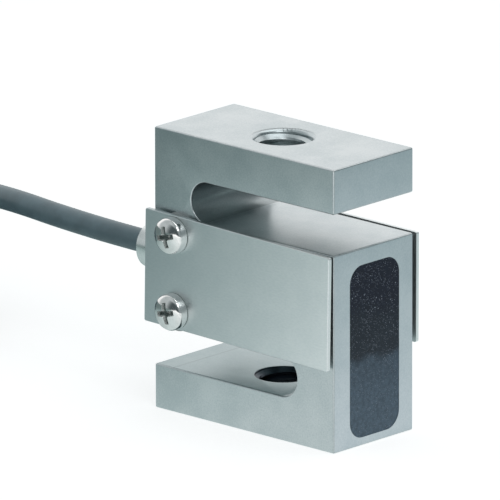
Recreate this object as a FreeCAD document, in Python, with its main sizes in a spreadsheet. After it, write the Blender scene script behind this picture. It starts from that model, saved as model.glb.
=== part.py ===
import FreeCAD, Part
import math
import os

import Sketcher

# S type load cell with cover plates, a cable gland and its cable, in millimetres.
#
# The frame: Z is the load axis, through both threaded holes, and z = 0 is the bottom face. X runs
# along the arms: the cable leaves at -X and the potted end is at +X. The front cover is at -Y.
#
# Every driving size is in the sheet "sizes". Text such as "body_length / 2" is an expression on it.

Vector = FreeCAD.Vector

SIZES = {
    # spring element
    "body_length": 50.8,
    "body_width": 24.4,
    "body_height": 61.0,
    "arm_thickness": 9.6,
    "slot_height": 8.8,
    "column_thickness": 10.5,
    "edge_chamfer": 0.3,
    "base_edge_radius": 0.45,
    # threaded holes of the two arms, M12
    "load_thread_diameter": 12.0,
    "load_countersink_diameter": 13.8,
    "load_inner_chamfer": 0.2,
    # sensing section
    "gauge_pocket_diameter": 16.0,
    "web_thickness": 2.6,
    "sealant_recess": 0.4,
    "wire_hole_diameter": 6.0,
    "wire_hole_overrun": 0.8,
    "gauge_length": 6.0,
    "gauge_width": 3.0,
    "gauge_thickness": 0.1,
    "gauge_spacing": 6.6,
    "terminal_length": 2.6,
    "terminal_height": 3.6,
    "terminal_thickness": 1.0,
    "terminal_reach": 5.9,
    # potted pocket in the right end
    "end_pocket_width": 15.1,
    "end_pocket_bottom_wall": 1.8,
    "end_pocket_top_wall": 3.6,
    "end_pocket_shift": 0.28,
    "end_pocket_depth": 5.0,
    "end_pocket_radius": 3.8,
    "potting_recess": 0.1,
    "board_margin": 2.3,
    "board_thickness": 0.8,
    "board_standoff": 1.0,
    "resistor_length": 3.2,
    "resistor_width": 1.6,
    "resistor_thickness": 0.6,
    "resistor_pitch": 5.2,
    # cover plates
    "front_cover_lap": 0.3,
    "rear_cover_lap": -0.4,
    "cover_thickness": 0.9,
    "cover_corner_radius": 0.4,
    "cover_edge_chamfer": 0.12,
    "cover_hole_clearance": 0.5,
    "cover_overhang": 1.1,
    "cover_rise": 0.5,
    "front_cover_turn": 1.1,
    "rear_cover_turn": 0.2,
    "front_cover_lift": 0.15,
    "rear_cover_lift": 0.1,
    # cover screws, M4, and the washers behind the plates
    "screw_distance": 7.3,
    "screw_inset": 3.85,
    "screw_diameter": 4.0,
    "screw_length": 8.0,
    "screw_hole_spare": 1.8,
    "head_diameter": 7.8,
    "head_side_height": 2.0,
    "head_dome_radius": 7.6,
    "head_edge_chamfer": 0.4,
    "recess_span": 4.8,
    "recess_width": 1.25,
    "recess_depth": 1.5,
    "recess_taper": 14.0,
    "recess_core_diameter": 2.1,
    "recess_core_depth": 2.4,
    "thread_chamfer": 0.4,
    "washer_diameter": 9.0,
    "washer_clearance": 0.3,
    "washer_thickness": 0.9,
    # cable gland
    "cable_rise": 0.2,
    "gland_thread_diameter": 8.0,
    "gland_thread_length": 7.6,
    "gland_hole_spare": 0.4,
    "cable_clearance": 0.3,
    "flange_across_flats": 10.0,
    "flange_thickness": 2.8,
    "sleeve_wall": 0.4,
    "sleeve_length": 5.6,
    "seal_wall": 0.9,
    "seal_length": 3.4,
    "nut_across_flats": 10.0,
    "nut_hex_length": 5.2,
    "nut_length": 9.4,
    "nut_end_diameter": 9.9,
    "nut_end_chamfer": 0.3,
    "nut_neck_step": 0.5,
    "nut_cone_length": 0.8,
    "nut_hole_clearance": 0.4,
    "nut_gap": 0.2,
    # cable, hank and stripped end
    "cable_diameter": 5.0,
    "core_diameter": 0.8,
    "core_spacing": 1.5,
    "hank_layers": 5.0,
    "hank_columns": 2.0,
    "hank_distance": 67.6,
    "hank_run": 42.0,
    "hank_inner_radius": 12.5,
    "tie_thickness": 0.8,
    "tie_width": 6.0,
    "tie_offset": 14.0,
    "tie_head_length": 7.4,
    "tie_head_width": 5.2,
    "tie_head_height": 3.6,
    "tie_tail_length": 7.0,
    "tie_tail_width": 5.0,
    "boot_length": 5.5,
    "boot_tip_diameter": 4.2,
    "lead_diameter": 1.2,
    "lead_tip_diameter": 0.7,
    "lead_length": 6.5,
    "lead_tip_length": 3.0,
    "lead_spread": 0.9,
    "lead_fan": 0.22,
    "lead_droop": 0.03,
}

# The cable's route, chosen by hand, from where the gland meets the block. The free stretch runs from
# inside the gland to the hank. The hank's two tails carry the same cable on, into and out of its
# turns, and their heights are above the surface that the cable lies on.
CABLE_ROUTE = [(4.4, 0, 30.7), (-18.6, 0, 30.7), (-40.6, 2.0, 30.7), (-54.6, 4.1, 30.8)]
CABLE_ROUTE += [(-69.1, 8.0875, 29.35)]
HANK_LEAD_IN = [(-69.1, 8.0875, 29.35), (-81.1, 11.3875, 28.15), (-99.1, 18.0, 24.5), (-115.1, 20.0, 23.4)]
HANK_LEAD_OUT = [(-89.1, 15.0, 3.4), (-101.1, 14.0, 3.4), (-115.1, 8.5, 3.4), (-125.1, 6.8, 3.4)]
ARC_SHARE = 0.45

# How far each screw was turned when it was driven home, in degrees.
SCREW_TURNS = {"upper_front": 14, "lower_front": 12, "upper_rear": -25, "lower_rear": 38}

LEADS = ["red", "black", "green", "white"]
SIDES = {"front": -1, "rear": 1}
LEVELS = {"upper": 1, "lower": -1}

# Sizes and places worked out from the sheet.
BEAM_HEIGHT = "( body_height - 2 * ( arm_thickness + slot_height ) )"
CABLE_HEIGHT = "( body_height / 2 + cable_rise )"
END_POCKET_HEIGHT = (
    "( body_height - arm_thickness - slot_height - end_pocket_top_wall - end_pocket_bottom_wall )"
)
END_POCKET_MIDDLE = f"( end_pocket_bottom_wall + {END_POCKET_HEIGHT} / 2 )"
COVER_MIDDLE = "( body_height / 2 + cover_rise )"
SCREW_ACROSS = "( screw_distance - body_length / 2 )"
SCREW_SPACING = f"( {BEAM_HEIGHT} - 2 * screw_inset )"
WASHER_SEAT = "( body_width / 2 )"
COVER_SEAT = f"( {WASHER_SEAT} + washer_thickness )"
HEAD_SEAT = f"( {COVER_SEAT} + cover_thickness )"
HEAD_TOP = (
    "( head_side_height + head_dome_radius"
    " - sqrt( head_dome_radius ^ 2 - ( head_diameter / 2 ) ^ 2 ) )"
)
CORE_OFFSET = "( web_thickness / 2 + terminal_thickness / 2 )"
CORE_CIRCLE = f"( 2 * sqrt( {CORE_OFFSET} ^ 2 + ( core_spacing / 2 ) ^ 2 ) + core_diameter )"
GLAND_BORE = f"( max( cable_diameter ; {CORE_CIRCLE} ) + cable_clearance )"
SEAL_DIAMETER = "( cable_diameter + 2 * seal_wall )"
SLEEVE_DIAMETER = f"( {SEAL_DIAMETER} + 2 * sleeve_wall )"
SLEEVE_END = "( flange_thickness + sleeve_length )"
NUT_START = "( flange_thickness + nut_gap )"

document = FreeCAD.newDocument("s_type_load_cell")
sheet = document.addObject("Spreadsheet::Sheet", "sizes")
pieces = []


def fill_sheet():
    for row, (name, value) in enumerate(SIZES.items(), 1):
        sheet.set(f"A{row}", name)
        sheet.set(f"B{row}", str(value))
        sheet.setAlias(f"B{row}", name)
    document.recompute()


def linked(text):
    """The expression with each size's name pointing at its cell."""
    words = [f"sizes.{word}" if word in SIZES else word for word in text.split()]
    return " ".join(words)


def value(text):
    """What an expression comes to now."""
    return float(sheet.evalExpression(linked(text)))


def bind(thing, property_name, text):
    thing.setExpression(property_name, linked(text))


def keep(thing, label):
    """Lists an object as one of the pieces, under the name of its file."""
    thing.Label = label
    pieces.append(thing)
    return thing


# Sketches


def new_body(label):
    return keep(document.addObject("PartDesign::Body", label), label)


def origin_plane(body, role):
    return next(part for part in body.Origin.OriginFeatures if part.Role == role)


def new_sketch(body, role, lift="0"):
    """A sketch on one of the body's own origin planes, lifted along the plane's normal."""
    sketch = body.newObject("Sketcher::SketchObject", f"{body.Label}_sketch")
    sketch.AttachmentSupport = (origin_plane(body, role), [""])
    sketch.MapMode = "FlatFace"
    bind(sketch, "AttachmentOffset.Base.z", lift)
    return sketch


def fix(sketch, kind, *where, to):
    """A dimension of the sketch, bound to the sheet."""
    number = sketch.addConstraint(Sketcher.Constraint(kind, *where, value(to)))
    bind(sketch, f"Constraints[{number}]", to)


def fix_point(sketch, element, end, across, up):
    fix(sketch, "DistanceX", element, end, to=across)
    fix(sketch, "DistanceY", element, end, to=up)


def draw_polygon(sketch, corners):
    """Straight edges through corners, each one a pair of expressions."""
    points = [Vector(value(across), value(up), 0) for across, up in corners]
    lines = []
    for start, end in zip(points, points[1:] + points[:1]):
        lines.append(sketch.addGeometry(Part.LineSegment(start, end), False))
    for line, following in zip(lines, lines[1:] + lines[:1]):
        sketch.addConstraint(Sketcher.Constraint("Coincident", line, 2, following, 1))
    for line, (across, up) in zip(lines, corners):
        fix_point(sketch, line, 1, across, up)


def draw_circle(sketch, across, up, diameter):
    centre = Vector(value(across), value(up), 0)
    circle = sketch.addGeometry(Part.Circle(centre, Vector(0, 0, 1), value(diameter) / 2), False)
    fix_point(sketch, circle, 3, across, up)
    fix(sketch, "Diameter", circle, to=diameter)


def draw_rounded_box(sketch, centre, size, radius):
    """A rectangle with rounded corners, from its centre and its full size."""
    across, up = (value(text) for text in centre)
    half_wide, half_high = (value(text) / 2 for text in size)
    r = value(radius)
    arcs = []
    for quarter, (side, level) in enumerate([(1, 1), (-1, 1), (-1, -1), (1, -1)]):
        middle = Vector(across + side * (half_wide - r), up + level * (half_high - r), 0)
        round_off = Part.Circle(middle, Vector(0, 0, 1), r)
        start = quarter * math.pi / 2
        arcs.append(sketch.addGeometry(Part.ArcOfCircle(round_off, start, start + math.pi / 2), False))
        fix_point(
            sketch,
            arcs[-1],
            3,
            f"{centre[0]} + {side} * ( ( {size[0]} ) / 2 - {radius} )",
            f"{centre[1]} + {level} * ( ( {size[1]} ) / 2 - {radius} )",
        )
        fix(sketch, "Radius", arcs[-1], to=radius)
    for arc, following in zip(arcs, arcs[1:] + arcs[:1]):
        start = sketch.getPoint(arc, 2)
        end = sketch.getPoint(following, 1)
        line = sketch.addGeometry(Part.LineSegment(start, end), False)
        sketch.addConstraint(Sketcher.Constraint("Tangent", arc, 2, line, 1))
        sketch.addConstraint(Sketcher.Constraint("Tangent", line, 2, following, 1))


# Features


def new_feature(body, kind, sketch, **settings):
    """A feature on the sketch. Text settings are expressions, apart from the choices of a list."""
    feature = body.newObject(f"PartDesign::{kind}", f"{body.Label}_{kind.lower()}")
    feature.Profile = sketch
    for name, setting in settings.items():
        if isinstance(setting, str) and feature.getEnumerationsOfProperty(name) is None:
            bind(feature, name, setting)
        else:
            setattr(feature, name, setting)
    return feature


def cut(body, kind, sketch, **settings):
    """A feature that has to take material away."""
    document.recompute()
    before = body.Shape.Volume
    feature = new_feature(body, kind, sketch, **settings)
    document.recompute()
    if not body.Shape.Volume < before:
        raise RuntimeError(f"{feature.Label} cuts nothing")
    return feature


def revolve(body, sketch):
    return new_feature(body, "Revolution", sketch, ReferenceAxis=(sketch, ["V_Axis"]), Angle=360)


def dress(body, kind, size_name, size, chosen):
    """A fillet or chamfer on the edges of the body for which chosen(edge) is true."""
    document.recompute()
    tip = body.Tip
    names = [f"Edge{n}" for n, edge in enumerate(tip.Shape.Edges, 1) if chosen(edge)]
    if not names:
        raise RuntimeError(f"no edge of {body.Label} for its {kind.lower()}")
    feature = body.newObject(f"PartDesign::{kind}", f"{body.Label}_{kind.lower()}")
    feature.Base = (tip, names)
    bind(feature, size_name, size)
    document.recompute()
    check(feature)
    return feature


def check(thing):
    if {"Invalid", "Error"} & set(thing.State):
        raise RuntimeError(f"{thing.Label} is {thing.State}")


def is_circle(edge, radius=None, **place):
    """Whether an edge is a whole circle, of that radius and with its centre there."""
    if edge.Degenerated or not edge.isClosed() or not isinstance(edge.Curve, Part.Circle):
        return False
    curve = edge.Curve
    same = radius is None or math.isclose(curve.Radius, radius, abs_tol=1e-4)
    return same and all(
        math.isclose(getattr(curve.Center, axis), at, abs_tol=1e-4) for axis, at in place.items()
    )


def is_straight(edge, axis):
    """Whether an edge is a straight line along the axis."""
    if edge.Degenerated or not isinstance(edge.Curve, Part.Line):
        return False
    return abs(abs(getattr(edge.Curve.Direction, axis)) - 1) < 1e-6


# Spring element


def build_spring_element():
    body = new_body("spring_element")
    block = new_sketch(body, "XZ_Plane")
    draw_polygon(
        block,
        [
            ("- body_length / 2", "0"),
            ("body_length / 2", "0"),
            ("body_length / 2", "body_height"),
            ("- body_length / 2", "body_height"),
        ],
    )
    new_feature(body, "Pad", block, Length="body_width", SideType="Symmetric")
    cut_slots(body)
    chamfer_block(body)
    cut_load_holes(body)
    cut_gauge_pockets(body)
    cut_end_pocket(body)
    cut_wire_holes(body)
    cut_screw_holes(body)


def cut_slots(body):
    """One slot from each end, each with a round closed end. Together they leave the S."""
    for side, floor in ((1, "body_height - arm_thickness - slot_height"), (-1, "arm_thickness")):
        sketch = new_sketch(body, "XZ_Plane")
        far = f"{side} * ( body_length / 2 + 1 )"
        near = f"{- side} * ( body_length / 2 - column_thickness - slot_height / 2 )"
        middle = f"{floor} + slot_height / 2"
        top = f"{floor} + slot_height"
        draw_slot(sketch, side, near, far, floor, middle, top)
        cut(body, "Pocket", sketch, Type="ThroughAll", SideType="Symmetric")


def draw_slot(sketch, side, near, far, floor, middle, top):
    """Three straight edges and a half circle about (near, middle), open towards side."""
    x0, x1, z0, z1 = (value(text) for text in (near, far, floor, top))
    centre = Vector(x0, value(middle), 0)
    start = math.pi / 2 if side > 0 else -math.pi / 2
    circle = Part.Circle(centre, Vector(0, 0, 1), (z1 - z0) / 2)
    arc = sketch.addGeometry(Part.ArcOfCircle(circle, start, start + math.pi), False)
    first, last = (z1, z0) if side > 0 else (z0, z1)
    path = [Vector(x0, last, 0), Vector(x1, last, 0), Vector(x1, first, 0), Vector(x0, first, 0)]
    lines = [sketch.addGeometry(Part.LineSegment(a, b), False) for a, b in zip(path, path[1:])]
    sketch.addConstraint(Sketcher.Constraint("Tangent", arc, 2, lines[0], 1))
    sketch.addConstraint(Sketcher.Constraint("Coincident", lines[0], 2, lines[1], 1))
    sketch.addConstraint(Sketcher.Constraint("Coincident", lines[1], 2, lines[2], 1))
    sketch.addConstraint(Sketcher.Constraint("Tangent", lines[2], 2, arc, 1))
    sketch.addConstraint(Sketcher.Constraint("Vertical", lines[1]))
    sketch.addConstraint(Sketcher.Constraint("Horizontal", lines[0]))
    fix_point(sketch, arc, 3, near, middle)
    fix(sketch, "Radius", arc, to="slot_height / 2")
    fix(sketch, "DistanceX", lines[1], 1, to=far)


def chamfer_block(body):
    """The bottom edges are rounded, and every other outer edge has a small chamfer."""
    half_length, half_width = value("body_length / 2"), value("body_width / 2")

    def on_bottom(edge):
        return edge.BoundBox.ZMax < 1e-6

    def on_outside(edge):
        if on_bottom(edge):
            return False
        box = edge.BoundBox
        at_side = abs(abs(box.YMin) - half_width) < 1e-4 and abs(box.YMax - box.YMin) < 1e-4
        at_end = abs(abs(box.XMin) - half_length) < 1e-4 and abs(box.XMax - box.XMin) < 1e-4
        return at_side or at_end

    dress(body, "Chamfer", "Size", "edge_chamfer", on_outside)
    dress(body, "Fillet", "Radius", "base_edge_radius", on_bottom)


def cut_load_holes(body):
    """A countersunk threaded hole through each arm, drilled from outside."""
    for lift, from_below in (("body_height", False), ("0", True)):
        sketch = new_sketch(body, "XY_Plane", lift)
        draw_circle(sketch, "0", "0", "load_thread_diameter")
        cut(
            body,
            "Hole",
            sketch,
            Reversed=from_below,
            ThreadType="None",
            DepthType="Dimension",
            DrillPoint="Flat",
            Depth="arm_thickness + slot_height / 2",
            Diameter="load_thread_diameter",
            HoleCutType="Countersink",
            HoleCutCustomValues=True,
            HoleCutDiameter="load_countersink_diameter",
            HoleCutCountersinkAngle=90,
        )
    radius = value("load_thread_diameter / 2")
    inner = (value("arm_thickness"), value("body_height - arm_thickness"))
    dress(
        body,
        "Chamfer",
        "Size",
        "load_inner_chamfer",
        lambda edge: any(is_circle(edge, radius, x=0, y=0, z=at) for at in inner),
    )


def cut_gauge_pockets(body):
    """A round pocket from each side, with the thin web between them that the gauges sit on."""
    for side in SIDES.values():
        sketch = new_sketch(body, "XZ_Plane", f"{- side} * body_width / 2")
        draw_circle(sketch, "0", "body_height / 2", "gauge_pocket_diameter")
        depth = "( body_width - web_thickness ) / 2"
        cut(body, "Pocket", sketch, Length=depth, Reversed=side > 0)


def cut_end_pocket(body):
    sketch = new_sketch(body, "YZ_Plane", "body_length / 2")
    draw_end_pocket(sketch)
    cut(body, "Pocket", sketch, Length="end_pocket_depth")


def draw_end_pocket(sketch):
    draw_rounded_box(
        sketch,
        ("end_pocket_shift", END_POCKET_MIDDLE),
        ("end_pocket_width", END_POCKET_HEIGHT),
        "end_pocket_radius",
    )


def cut_wire_holes(body):
    """The gland's threaded hole, and the wire holes that join it, the pockets and the end pocket."""
    to_pocket = "body_length / 2 - gauge_pocket_diameter / 2 + wire_hole_overrun"
    for lift, diameter, depth, reverse in (
        ("- body_length / 2", "gland_thread_diameter", "gland_thread_length + gland_hole_spare", True),
        ("- body_length / 2", "wire_hole_diameter", to_pocket, True),
        ("body_length / 2", "wire_hole_diameter", to_pocket, False),
    ):
        sketch = new_sketch(body, "YZ_Plane", lift)
        draw_circle(sketch, "0", CABLE_HEIGHT, diameter)
        cut(body, "Pocket", sketch, Length=depth, Reversed=reverse)


def cut_screw_holes(body):
    """Threaded blind holes for the cover screws, two in each side."""
    for side in SIDES.values():
        sketch = new_sketch(body, "XZ_Plane", f"{- side} * body_width / 2")
        for level in LEVELS.values():
            draw_circle(sketch, SCREW_ACROSS, screw_height(level), "screw_diameter")
        cut(
            body,
            "Hole",
            sketch,
            Reversed=side > 0,
            ThreadType="None",
            DepthType="Dimension",
            Depth="screw_length - washer_thickness - cover_thickness + screw_hole_spare",
            Diameter="screw_diameter",
            DrillPoint="Flat",
        )


def screw_height(level):
    return f"{COVER_MIDDLE} + {level} * {SCREW_SPACING} / 2"


# Covers, washers and screws


def build_covers():
    """Both plates hang on their screws at the cable's end, turned a little in the holes."""
    for name, side in SIDES.items():
        body = new_body(f"{name}_cover")
        sketch = new_sketch(body, "XZ_Plane")
        length = "( body_length + cover_overhang )"
        middle = f"{length} / 2 - screw_distance - cover_overhang"
        height = f"( {BEAM_HEIGHT} + {name}_cover_lap )"
        plate_level = f"( {name}_cover_lap - front_cover_lap ) / 2"
        draw_rounded_box(sketch, (middle, plate_level), (length, height), "cover_corner_radius")
        for level in LEVELS.values():
            hole = "screw_diameter + cover_hole_clearance"
            draw_circle(sketch, "0", f"{level} * {SCREW_SPACING} / 2", hole)
        new_feature(body, "Pad", sketch, Length="cover_thickness", Reversed=side > 0)
        thickness = value("cover_thickness")
        dress(
            body,
            "Chamfer",
            "Size",
            "cover_edge_chamfer",
            lambda edge: abs(abs(edge.BoundBox.YMin) - thickness) < 1e-4
            and abs(edge.BoundBox.YMax - edge.BoundBox.YMin) < 1e-4
            and not is_circle(edge),
        )
        place(body, SCREW_ACROSS, f"{side} * {COVER_SEAT}", f"{COVER_MIDDLE} + {name}_cover_lift")
        turn = f"{name}_cover_turn"
        body.Placement.Rotation = FreeCAD.Rotation(Vector(0, 1, 0), value(turn))
        bind(body, "Placement.Rotation.Angle", turn)


def place(thing, x, y, z):
    for axis, text in zip("xyz", (x, y, z)):
        bind(thing, f"Placement.Base.{axis}", text)


def build_washers_and_screws():
    for name, side in SIDES.items():
        for level_name, level in LEVELS.items():
            turn = FreeCAD.Rotation(Vector(0, 0, 1), Vector(0, side, 0))
            washer = build_washer(f"{level_name}_{name}_washer")
            place(washer, SCREW_ACROSS, f"{side} * {WASHER_SEAT}", screw_height(level))
            washer.Placement.Rotation = turn
            screw = build_screw(f"{level_name}_{name}_screw")
            place(screw, SCREW_ACROSS, f"{side} * {HEAD_SEAT}", screw_height(level))
            driven = FreeCAD.Rotation(Vector(0, 0, 1), SCREW_TURNS[f"{level_name}_{name}"])
            screw.Placement.Rotation = turn.multiply(driven)


def build_washer(label):
    """A flat washer on the plane z = 0 of its own frame."""
    body = new_body(label)
    sketch = new_sketch(body, "XY_Plane")
    draw_circle(sketch, "0", "0", "washer_diameter")
    draw_circle(sketch, "0", "0", "screw_diameter + washer_clearance")
    new_feature(body, "Pad", sketch, Length="washer_thickness")
    return body


def build_screw(label):
    """A pan head screw: its head is above z = 0 of its own frame, and its shank below."""
    body = new_body(label)
    sketch = new_sketch(body, "XZ_Plane")
    draw_polygon(
        sketch,
        [
            ("0", "- screw_length"),
            ("screw_diameter / 2 - thread_chamfer", "- screw_length"),
            ("screw_diameter / 2", "thread_chamfer - screw_length"),
            ("screw_diameter / 2", "0"),
            ("head_diameter / 2", "0"),
            ("head_diameter / 2", HEAD_TOP),
            ("0", HEAD_TOP),
        ],
    )
    revolve(body, sketch)
    dome_the_head(body)
    cut_recess(body)
    return body


def dome_the_head(body):
    """Trims the head to a dome that meets its straight side, and bevels the edge between them."""
    sketch = new_sketch(body, "XZ_Plane")
    radius, half = value("head_dome_radius"), value("head_diameter / 2")
    side, top = value("head_side_height"), value(HEAD_TOP)
    lean = math.asin(half / radius)
    sphere = Part.Circle(Vector(0, top - radius, 0), Vector(0, 0, 1), radius)
    dome = Part.ArcOfCircle(sphere, math.pi / 2 - lean, math.pi / 2)
    arc = sketch.addGeometry(dome, False)
    path = [Vector(0, top, 0), Vector(0, top + 1, 0), Vector(half + 1, top + 1, 0)]
    path += [Vector(half + 1, side, 0), Vector(half, side, 0)]
    lines = [sketch.addGeometry(Part.LineSegment(a, b), False) for a, b in zip(path, path[1:])]
    for line, following in zip(lines, lines[1:]):
        sketch.addConstraint(Sketcher.Constraint("Coincident", line, 2, following, 1))
    sketch.addConstraint(Sketcher.Constraint("Coincident", arc, 2, lines[0], 1))
    sketch.addConstraint(Sketcher.Constraint("Coincident", arc, 1, lines[3], 2))
    fix_point(sketch, arc, 3, "0", f"{HEAD_TOP} - head_dome_radius")
    fix(sketch, "Radius", arc, to="head_dome_radius")
    fix(sketch, "DistanceX", arc, 2, to="0")
    fix(sketch, "DistanceX", arc, 1, to="head_diameter / 2")
    fix_point(sketch, lines[1], 1, "0", f"{HEAD_TOP} + 1")
    fix_point(sketch, lines[2], 1, "head_diameter / 2 + 1", f"{HEAD_TOP} + 1")
    fix_point(sketch, lines[3], 1, "head_diameter / 2 + 1", "head_side_height")
    cut(body, "Groove", sketch, ReferenceAxis=(sketch, ["V_Axis"]), Angle=360)
    dress(
        body,
        "Chamfer",
        "Size",
        "head_edge_chamfer",
        lambda edge: is_circle(edge, half, z=side),
    )


def cut_recess(body):
    """The cross recess: two crossed wings that taper as they go down, and a cone at their middle."""
    sketch = new_sketch(body, "XY_Plane", HEAD_TOP)
    near, far = "recess_width / 2", "recess_span / 2"
    corner = [(near, near), (near, far), (f"- {near}", far)]
    corners = []
    for turn in range(4):
        for across, up in corner:
            for _ in range(turn):
                across, up = negative(up), across
            corners.append((across, up))
    draw_polygon(sketch, corners)
    cut(body, "Pocket", sketch, Length="recess_depth", TaperAngle="- recess_taper")
    core = new_sketch(body, "XZ_Plane")
    bottom = f"{HEAD_TOP} - recess_core_depth"
    draw_polygon(core, [("0", bottom), ("recess_core_diameter / 2", HEAD_TOP), ("0", HEAD_TOP)])
    cut(body, "Groove", core, ReferenceAxis=(core, ["V_Axis"]), Angle=360)


def negative(text):
    return text[2:] if text.startswith("- ") else f"- {text}"


# Cable gland. Each part is turned about Z of its own frame, and lies with Z towards -X.


def lay_gland_part(body):
    place(body, "- body_length / 2", "0", CABLE_HEIGHT)
    body.Placement.Rotation = FreeCAD.Rotation(Vector(0, 0, 1), Vector(-1, 0, 0))


def draw_hexagon(sketch, across_flats):
    """A hexagon with a corner on each side of the X axis of the sketch."""
    reach = f"{across_flats} / sqrt( 3 )"
    flat = f"{across_flats} / 2"
    corners = [(reach, "0"), (f"{reach} / 2", flat), (f"- {reach} / 2", flat)]
    corners += [(f"- {reach}", "0"), (f"- {reach} / 2", f"- {flat}"), (f"{reach} / 2", f"- {flat}")]
    draw_polygon(sketch, corners)


def build_gland():
    build_gland_body()
    build_gland_seal()
    build_gland_nut()


def build_gland_body():
    """A threaded stub below z = 0, a hexagon on the block's face and a sleeve for the nut."""
    body = new_body("gland_body")
    stem = new_sketch(body, "XZ_Plane")
    draw_polygon(
        stem,
        [
            (f"{GLAND_BORE} / 2", "- gland_thread_length"),
            ("gland_thread_diameter / 2 - thread_chamfer", "- gland_thread_length"),
            ("gland_thread_diameter / 2", "thread_chamfer - gland_thread_length"),
            ("gland_thread_diameter / 2", "0"),
            (f"{SLEEVE_DIAMETER} / 2", "flange_thickness"),
            (f"{SLEEVE_DIAMETER} / 2", SLEEVE_END),
            (f"{SEAL_DIAMETER} / 2", SLEEVE_END),
            (f"{SEAL_DIAMETER} / 2", f"{SLEEVE_END} - seal_length"),
            (f"{GLAND_BORE} / 2", f"{SLEEVE_END} - seal_length"),
        ],
    )
    revolve(body, stem)
    flange = new_sketch(body, "XY_Plane")
    draw_hexagon(flange, "flange_across_flats")
    draw_circle(flange, "0", "0", GLAND_BORE)
    new_feature(body, "Pad", flange, Length="flange_thickness")
    lay_gland_part(body)


def build_gland_seal():
    """The rubber ring that the nut squeezes round the cable."""
    body = new_body("gland_seal")
    sketch = new_sketch(body, "XY_Plane", f"{SLEEVE_END} - seal_length")
    draw_circle(sketch, "0", "0", SEAL_DIAMETER)
    draw_circle(sketch, "0", "0", "cable_diameter")
    new_feature(body, "Pad", sketch, Length="seal_length")
    lay_gland_part(body)


def build_gland_nut():
    """A cap nut: hexagonal at the block, bevelled at the cable."""
    body = new_body("gland_nut")
    hex_end = f"{NUT_START} + nut_hex_length"
    end = f"{NUT_START} + nut_length"
    hexagon = new_sketch(body, "XY_Plane", NUT_START)
    draw_hexagon(hexagon, "nut_across_flats")
    new_feature(body, "Pad", hexagon, Length="nut_hex_length")
    outer = new_sketch(body, "XZ_Plane")
    neck = "nut_across_flats / 2 - nut_neck_step"
    draw_polygon(
        outer,
        [
            ("0", NUT_START),
            (neck, NUT_START),
            (neck, hex_end),
            ("nut_end_diameter / 2", f"{hex_end} + nut_neck_step"),
            ("nut_end_diameter / 2", end),
            ("0", end),
        ],
    )
    revolve(body, outer)
    dress(
        body,
        "Chamfer",
        "Size",
        "nut_end_chamfer",
        lambda edge: is_circle(edge, value("nut_end_diameter / 2"), z=value(end)),
    )
    bore = new_sketch(body, "XZ_Plane")
    mouth = "( cable_diameter + nut_hole_clearance )"
    draw_polygon(
        bore,
        [
            ("0", f"{NUT_START} - 1"),
            (f"{SLEEVE_DIAMETER} / 2", f"{NUT_START} - 1"),
            (f"{SLEEVE_DIAMETER} / 2", SLEEVE_END),
            (f"{mouth} / 2", f"{SLEEVE_END} + nut_cone_length"),
            (f"{mouth} / 2", f"{end} + 1"),
            ("0", f"{end} + 1"),
        ],
    )
    cut(body, "Groove", bore, ReferenceAxis=(bore, ["V_Axis"]), Angle=360)
    lay_gland_part(body)


# Inner pieces


def add(kind, label, **sizes):
    """A primitive of the Part workbench with its sizes bound to the sheet."""
    thing = document.addObject(f"Part::{kind}", label)
    thing.Label = label
    for name, text in sizes.items():
        bind(thing, name, text)
    return thing


def build_gauges():
    """Two foil gauges on each face of the web, crossed at 45 degrees, and a terminal each side."""
    inner = {}
    for name, side in SIDES.items():
        found = []
        for level_name, level in LEVELS.items():
            gauge = add(
                "Box",
                f"{level_name}_{name}_gauge",
                Length="gauge_length",
                Width="gauge_thickness",
                Height="gauge_width",
            )
            tilt = FreeCAD.Rotation(Vector(0, 1, 0), 45 * level)
            corner = Vector(
                -value("gauge_length") / 2,
                value("web_thickness / 2") if side > 0 else -value("web_thickness / 2 + gauge_thickness"),
                -value("gauge_width") / 2,
            )
            centre = Vector(0, 0, value(f"body_height / 2 + {level} * gauge_spacing / 2"))
            gauge.Placement = FreeCAD.Placement(centre + tilt.multVec(corner), tilt)
            found.append(keep(gauge, gauge.Label))
        for end_name, end in (("cable", -1), ("board", 1)):
            terminal = add(
                "Box",
                f"{name}_{end_name}_terminal",
                Length="terminal_length",
                Width="terminal_thickness",
                Height="terminal_height",
            )
            outward = "web_thickness / 2" if side > 0 else "- web_thickness / 2 - terminal_thickness"
            place(
                terminal,
                f"{end} * terminal_reach - terminal_length / 2",
                outward,
                f"{CABLE_HEIGHT} - terminal_height / 2",
            )
            found.append(keep(terminal, terminal.Label))
        inner[name] = found
    return inner


def build_cores():
    """The cable's four cores run on to the terminals, and four wires run on to the board."""
    made = {"front": [], "rear": []}
    jacket_end = f"( body_length / 2 - {CABLE_ROUTE[0][0]} )"
    terminal_end = "( terminal_reach + terminal_length / 2 )"
    board_back = "body_length / 2 - end_pocket_depth + board_standoff"
    for number, colour in enumerate(LEADS):
        side_name, side = list(SIDES.items())[number % 2]
        level = 1 if number < 2 else -1
        for label, start, length in (
            (f"{colour}_core", f"- {jacket_end}", f"{jacket_end} - {terminal_end}"),
            (f"{colour}_board_wire", terminal_end, f"{board_back} - {terminal_end}"),
        ):
            wire = add("Cylinder", label, Radius="core_diameter / 2", Height=length)
            place(wire, start, f"{side} * {CORE_OFFSET}", f"{CABLE_HEIGHT} + {level} * core_spacing / 2")
            wire.Placement.Rotation = FreeCAD.Rotation(Vector(0, 0, 1), Vector(1, 0, 0))
            made[side_name].append(keep(wire, label))
    return made


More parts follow.
